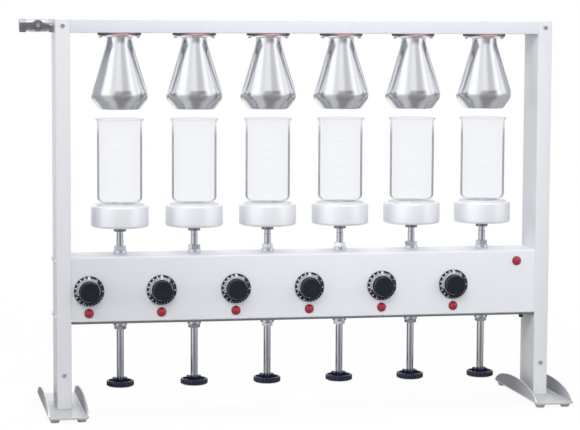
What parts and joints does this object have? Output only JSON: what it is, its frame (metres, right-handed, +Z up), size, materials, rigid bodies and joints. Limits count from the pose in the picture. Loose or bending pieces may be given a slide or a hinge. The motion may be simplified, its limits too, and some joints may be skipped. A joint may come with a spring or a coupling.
{
  "type": "crude fiber apparatus",
  "caption": "Bench frame with a row of screw-lifted heaters that boil samples in glass beakers under water-cooled metal condensers, each set by its own dial.",
  "frame": {"origin": "on the bench, under the middle of the whole apparatus from end to end and from front to back", "axes": "+X to the right along the row of stations, +Y to the back, +Z up"},
  "size_m": [0.9926, 0.26, 0.702],
  "materials": {
    "frame_paint": "pale grey enamel, semi-gloss",
    "foot_paint": "mid grey enamel, satin",
    "pad_rubber": "moulded, matt",
    "gasket_rubber": "silicone rubber, matt",
    "spun_steel": "spun, bright",
    "bright_steel": "polished plate",
    "cup_aluminium": "spun, satin",
    "plate_steel": "turned, satin",
    "clear_glass": "clear, polished",
    "wheel_plastic": "moulded, glossy",
    "dial_plastic": "moulded, semi-matt with printed scale",
    "lamp_plastic": "moulded, glossy and translucent",
    "regulator_plastic": "moulded, matt",
    "valve_metal": "plated brass, bright",
    "lever_plastic": "slate grey coat, satin",
    "gland_plastic": "moulded, matt"
  },
  "bodies": {
    "frame": {"left_post": "frame_paint", "right_post": "frame_paint", "top_beam": "frame_paint", "left_foot": "foot_paint", "right_foot": "foot_paint", "rubber_feet": "pad_rubber", "control_box": "frame_paint", "bottom_cover": "frame_paint", "condenser_gaskets": "gasket_rubber", "condenser_screws": "bright_steel", "upper_bushes": "bright_steel", "lower_bushes": "bright_steel", "pilot_lamps": "lamp_plastic", "energy_regulators": "regulator_plastic", "frame_screws": "bright_steel", "valve_body": "valve_metal", "cable_gland": "gland_plastic", "condenser_1": "spun_steel", "condenser_2": "spun_steel", "condenser_3": "spun_steel", "condenser_4": "spun_steel", "condenser_5": "spun_steel", "condenser_6": "spun_steel"},
    "valve_lever": {"valve_lever": "lever_plastic"},
    "lift_1": {"heater_1": "cup_aluminium", "hot_plate_1": "plate_steel"},
    "screw_1": {"lift_screw_1": "bright_steel", "handwheel_1": "wheel_plastic"},
    "beaker_1": {"beaker_1": "clear_glass"},
    "dial_1": {"dial_1": "dial_plastic"},
    "lift_2": {"heater_2": "cup_aluminium", "hot_plate_2": "plate_steel"},
    "screw_2": {"lift_screw_2": "bright_steel", "handwheel_2": "wheel_plastic"},
    "beaker_2": {"beaker_2": "clear_glass"},
    "dial_2": {"dial_2": "dial_plastic"},
    "lift_3": {"heater_3": "cup_aluminium", "hot_plate_3": "plate_steel"},
    "screw_3": {"lift_screw_3": "bright_steel", "handwheel_3": "wheel_plastic"},
    "beaker_3": {"beaker_3": "clear_glass"},
    "dial_3": {"dial_3": "dial_plastic"},
    "lift_4": {"heater_4": "cup_aluminium", "hot_plate_4": "plate_steel"},
    "screw_4": {"lift_screw_4": "bright_steel", "handwheel_4": "wheel_plastic"},
    "beaker_4": {"beaker_4": "clear_glass"},
    "dial_4": {"dial_4": "dial_plastic"},
    "lift_5": {"heater_5": "cup_aluminium", "hot_plate_5": "plate_steel"},
    "screw_5": {"lift_screw_5": "bright_steel", "handwheel_5": "wheel_plastic"},
    "beaker_5": {"beaker_5": "clear_glass"},
    "dial_5": {"dial_5": "dial_plastic"},
    "lift_6": {"heater_6": "cup_aluminium", "hot_plate_6": "plate_steel"},
    "screw_6": {"lift_screw_6": "bright_steel", "handwheel_6": "wheel_plastic"},
    "beaker_6": {"beaker_6": "clear_glass"},
    "dial_6": {"dial_6": "dial_plastic"}
  },
  "joints": [
    {"name": "lift_1_slide", "type": "slide", "parent": "frame", "child": "lift_1", "axis": [0, 0, 1], "range_m": [-0.02, 0.022]},
    {"name": "screw_1_turn", "type": "hinge", "parent": "lift_1", "child": "screw_1", "pos_m": [-0.31875, 0, 0.2215], "axis": [0, 0, 1], "range_deg": [-1200, 1320]},
    {"name": "beaker_1_slide", "type": "slide", "parent": "lift_1", "child": "beaker_1", "axis": [0, -1, 0], "range_m": [0, 0.18]},
    {"name": "dial_1_turn", "type": "hinge", "parent": "frame", "child": "dial_1", "pos_m": [-0.37875, -0.041, 0.22], "axis": [0, 1, 0], "range_deg": [0, 290]},
    {"name": "lift_2_slide", "type": "slide", "parent": "frame", "child": "lift_2", "axis": [0, 0, 1], "range_m": [-0.02, 0.022]},
    {"name": "screw_2_turn", "type": "hinge", "parent": "lift_2", "child": "screw_2", "pos_m": [-0.18375, 0, 0.2215], "axis": [0, 0, 1], "range_deg": [-1200, 1320]},
    {"name": "beaker_2_slide", "type": "slide", "parent": "lift_2", "child": "beaker_2", "axis": [0, -1, 0], "range_m": [0, 0.18]},
    {"name": "dial_2_turn", "type": "hinge", "parent": "frame", "child": "dial_2", "pos_m": [-0.24875, -0.041, 0.22], "axis": [0, 1, 0], "range_deg": [0, 290]},
    {"name": "lift_3_slide", "type": "slide", "parent": "frame", "child": "lift_3", "axis": [0, 0, 1], "range_m": [-0.02, 0.022]},
    {"name": "screw_3_turn", "type": "hinge", "parent": "lift_3", "child": "screw_3", "pos_m": [-0.04875, 0, 0.2215], "axis": [0, 0, 1], "range_deg": [-1200, 1320]},
    {"name": "beaker_3_slide", "type": "slide", "parent": "lift_3", "child": "beaker_3", "axis": [0, -1, 0], "range_m": [0, 0.18]},
    {"name": "dial_3_turn", "type": "hinge", "parent": "frame", "child": "dial_3", "pos_m": [-0.11375, -0.041, 0.22], "axis": [0, 1, 0], "range_deg": [0, 290]},
    {"name": "lift_4_slide", "type": "slide", "parent": "frame", "child": "lift_4", "axis": [0, 0, 1], "range_m": [-0.02, 0.022]},
    {"name": "screw_4_turn", "type": "hinge", "parent": "lift_4", "child": "screw_4", "pos_m": [0.08625, 0, 0.2215], "axis": [0, 0, 1], "range_deg": [-1200, 1320]},
    {"name": "beaker_4_slide", "type": "slide", "parent": "lift_4", "child": "beaker_4", "axis": [0, -1, 0], "range_m": [0, 0.18]},
    {"name": "dial_4_turn", "type": "hinge", "parent": "frame", "child": "dial_4", "pos_m": [0.02125, -0.041, 0.22], "axis": [0, 1, 0], "range_deg": [0, 290]},
    {"name": "lift_5_slide", "type": "slide", "parent": "frame", "child": "lift_5", "axis": [0, 0, 1], "range_m": [-0.02, 0.022]},
    {"name": "screw_5_turn", "type": "hinge", "parent": "lift_5", "child": "screw_5", "pos_m": [0.22125, 0, 0.2215], "axis": [0, 0, 1], "range_deg": [-1200, 1320]},
    {"name": "beaker_5_slide", "type": "slide", "parent": "lift_5", "child": "beaker_5", "axis": [0, -1, 0], "range_m": [0, 0.18]},
    {"name": "dial_5_turn", "type": "hinge", "parent": "frame", "child": "dial_5", "pos_m": [0.15625, -0.041, 0.22], "axis": [0, 1, 0], "range_deg": [0, 290]},
    {"name": "lift_6_slide", "type": "slide", "parent": "frame", "child": "lift_6", "axis": [0, 0, 1], "range_m": [-0.02, 0.022]},
    {"name": "screw_6_turn", "type": "hinge", "parent": "lift_6", "child": "screw_6", "pos_m": [0.35625, 0, 0.2215], "axis": [0, 0, 1], "range_deg": [-1200, 1320]},
    {"name": "beaker_6_slide", "type": "slide", "parent": "lift_6", "child": "beaker_6", "axis": [0, -1, 0], "range_m": [0, 0.18]},
    {"name": "dial_6_turn", "type": "hinge", "parent": "frame", "child": "dial_6", "pos_m": [0.29125, -0.041, 0.22], "axis": [0, 1, 0], "range_deg": [0, 290]},
    {"name": "valve_lever_turn", "type": "hinge", "parent": "frame", "child": "valve_lever", "pos_m": [-0.46425, -0.014, 0.69015], "axis": [0, 1, 0], "range_deg": [0, 90]}
  ],
  "couplings": [
    {"joint": "screw_1_turn", "follows": "lift_1_slide", "rad_per_m": 1047.2},
    {"joint": "screw_2_turn", "follows": "lift_2_slide", "rad_per_m": 1047.2},
    {"joint": "screw_3_turn", "follows": "lift_3_slide", "rad_per_m": 1047.2},
    {"joint": "screw_4_turn", "follows": "lift_4_slide", "rad_per_m": 1047.2},
    {"joint": "screw_5_turn", "follows": "lift_5_slide", "rad_per_m": 1047.2},
    {"joint": "screw_6_turn", "follows": "lift_6_slide", "rad_per_m": 1047.2}
  ]
}
